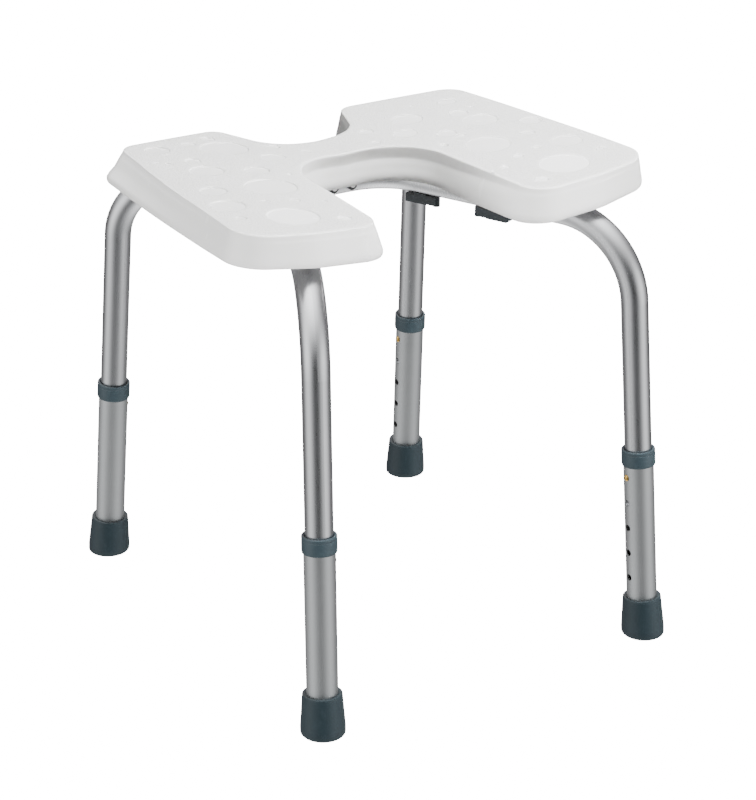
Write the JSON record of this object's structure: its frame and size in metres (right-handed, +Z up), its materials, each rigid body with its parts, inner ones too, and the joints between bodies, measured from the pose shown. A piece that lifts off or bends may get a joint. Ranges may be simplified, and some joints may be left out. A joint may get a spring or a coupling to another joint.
{
  "type": "shower stool",
  "caption": "Backless shower stool with a dished plastic seat, a deep front cut-out, two crossed bent-tube frames and telescoping legs with snap buttons.",
  "frame": {"origin": "on the floor, midway between the four feet, under the middle of the seat", "axes": "+X to the right-hand side as seen from the front, +Y to the back (the notch side), +Z up; the cut-out opens to -Y"},
  "size_m": [0.4342, 0.4612, 0.4519],
  "materials": {
    "seat_plastic": "off-white blow-moulded plastic, satin, with a fine pebbled top and raised bubble rims",
    "frame_aluminium": "satin anodised tube, drawn along its length",
    "leg_aluminium": "matte anodised tube, a little duller than the frame",
    "bolt_steel": "bright zinc-plated steel",
    "nut_black": "black nut, slightly glossy",
    "screw_steel": "stainless steel",
    "latch_plastic": "dark slate moulded plastic, satin",
    "collar_plastic": "slate moulded plastic, satin",
    "foot_rubber": "dark slate rubber, matte",
    "washer_steel": "zinc-plated steel",
    "button_brass": "polished domed brass",
    "spring_steel": "spring steel strip"
  },
  "bodies": {
    "frame": {"seat": "seat_plastic", "front_tube": "frame_aluminium", "rear_tube": "frame_aluminium", "cross_bolts": "bolt_steel", "cross_washers": "washer_steel", "cross_nuts": "nut_black", "latch_screws": "screw_steel", "button_spring_front_left": "spring_steel", "button_spring_front_right": "spring_steel", "button_spring_back_left": "spring_steel", "button_spring_back_right": "spring_steel"},
    "leg_front_left": {"lower_tube_front_left": "leg_aluminium", "collar_front_left": "collar_plastic", "foot_front_left": "foot_rubber", "foot_washer_front_left": "washer_steel"},
    "leg_front_right": {"lower_tube_front_right": "leg_aluminium", "collar_front_right": "collar_plastic", "foot_front_right": "foot_rubber", "foot_washer_front_right": "washer_steel"},
    "leg_back_left": {"lower_tube_back_left": "leg_aluminium", "collar_back_left": "collar_plastic", "foot_back_left": "foot_rubber", "foot_washer_back_left": "washer_steel"},
    "leg_back_right": {"lower_tube_back_right": "leg_aluminium", "collar_back_right": "collar_plastic", "foot_back_right": "foot_rubber", "foot_washer_back_right": "washer_steel"},
    "button_front_left": {"snap_button_front_left": "button_brass"},
    "button_front_right": {"snap_button_front_right": "button_brass"},
    "button_back_left": {"snap_button_back_left": "button_brass"},
    "button_back_right": {"snap_button_back_right": "button_brass"},
    "latch_rear_left": {"latch_rear_left": "latch_plastic"},
    "latch_rear_right": {"latch_rear_right": "latch_plastic"},
    "latch_middle_left": {"latch_middle_left": "latch_plastic"},
    "latch_middle_right": {"latch_middle_right": "latch_plastic"},
    "latch_front_left": {"latch_front_left": "latch_plastic"},
    "latch_front_right": {"latch_front_right": "latch_plastic"}
  },
  "joints": [
    {"name": "leg_height_front_left", "type": "slide", "parent": "frame", "child": "leg_front_left", "axis": [0.0272, 0.0765, 0.9967], "range_m": [0, 0.1016], "deforming": ["snap_button_front_left", "button_spring_front_left"]},
    {"name": "leg_height_front_right", "type": "slide", "parent": "frame", "child": "leg_front_right", "axis": [-0.0272, 0.0765, 0.9967], "range_m": [0, 0.1016], "deforming": ["snap_button_front_right", "button_spring_front_right"]},
    {"name": "leg_height_back_left", "type": "slide", "parent": "frame", "child": "leg_back_left", "axis": [0.0272, -0.0765, 0.9967], "range_m": [0, 0.1016], "deforming": ["snap_button_back_left", "button_spring_back_left"]},
    {"name": "leg_height_back_right", "type": "slide", "parent": "frame", "child": "leg_back_right", "axis": [-0.0272, -0.0765, 0.9967], "range_m": [0, 0.1016], "deforming": ["snap_button_back_right", "button_spring_back_right"]},
    {"name": "button_press_front_left", "type": "slide", "parent": "frame", "child": "button_front_left", "axis": [-0.9996, 0.0021, 0.0271], "range_m": [0, 0.0038], "stiffness_N_per_m": 2500, "springref_m": -0.002},
    {"name": "button_press_front_right", "type": "slide", "parent": "frame", "child": "button_front_right", "axis": [0.9996, 0.0021, 0.0271], "range_m": [0, 0.0038], "stiffness_N_per_m": 2500, "springref_m": -0.002},
    {"name": "button_press_back_left", "type": "slide", "parent": "frame", "child": "button_back_left", "axis": [-0.9996, -0.0021, 0.0271], "range_m": [0, 0.0038], "stiffness_N_per_m": 2500, "springref_m": -0.002},
    {"name": "button_press_back_right", "type": "slide", "parent": "frame", "child": "button_back_right", "axis": [0.9996, -0.0021, 0.0271], "range_m": [0, 0.0038], "stiffness_N_per_m": 2500, "springref_m": -0.002},
    {"name": "latch_turn_rear_left", "type": "hinge", "parent": "frame", "child": "latch_rear_left", "pos_m": [-0.10658, 0.10231, 0.38465], "axis": [0, 0, 1], "range_deg": [-120, 0]},
    {"name": "latch_turn_rear_right", "type": "hinge", "parent": "frame", "child": "latch_rear_right", "pos_m": [0.10658, 0.10231, 0.38465], "axis": [0, 0, 1], "range_deg": [0, 120]},
    {"name": "latch_turn_middle_left", "type": "hinge", "parent": "frame", "child": "latch_middle_left", "pos_m": [-0.09203, 0.04033, 0.38465], "axis": [0, 0, 1], "range_deg": [-120, 0]},
    {"name": "latch_turn_middle_right", "type": "hinge", "parent": "frame", "child": "latch_middle_right", "pos_m": [0.09203, 0.04033, 0.38465], "axis": [0, 0, 1], "range_deg": [0, 120]},
    {"name": "latch_turn_front_left", "type": "hinge", "parent": "frame", "child": "latch_front_left", "pos_m": [-0.12872, -0.0413, 0.38465], "axis": [0, 0, 1], "range_deg": [0, 120]},
    {"name": "latch_turn_front_right", "type": "hinge", "parent": "frame", "child": "latch_front_right", "pos_m": [0.12872, -0.0413, 0.38465], "axis": [0, 0, 1], "range_deg": [-120, 0]}
  ]
}
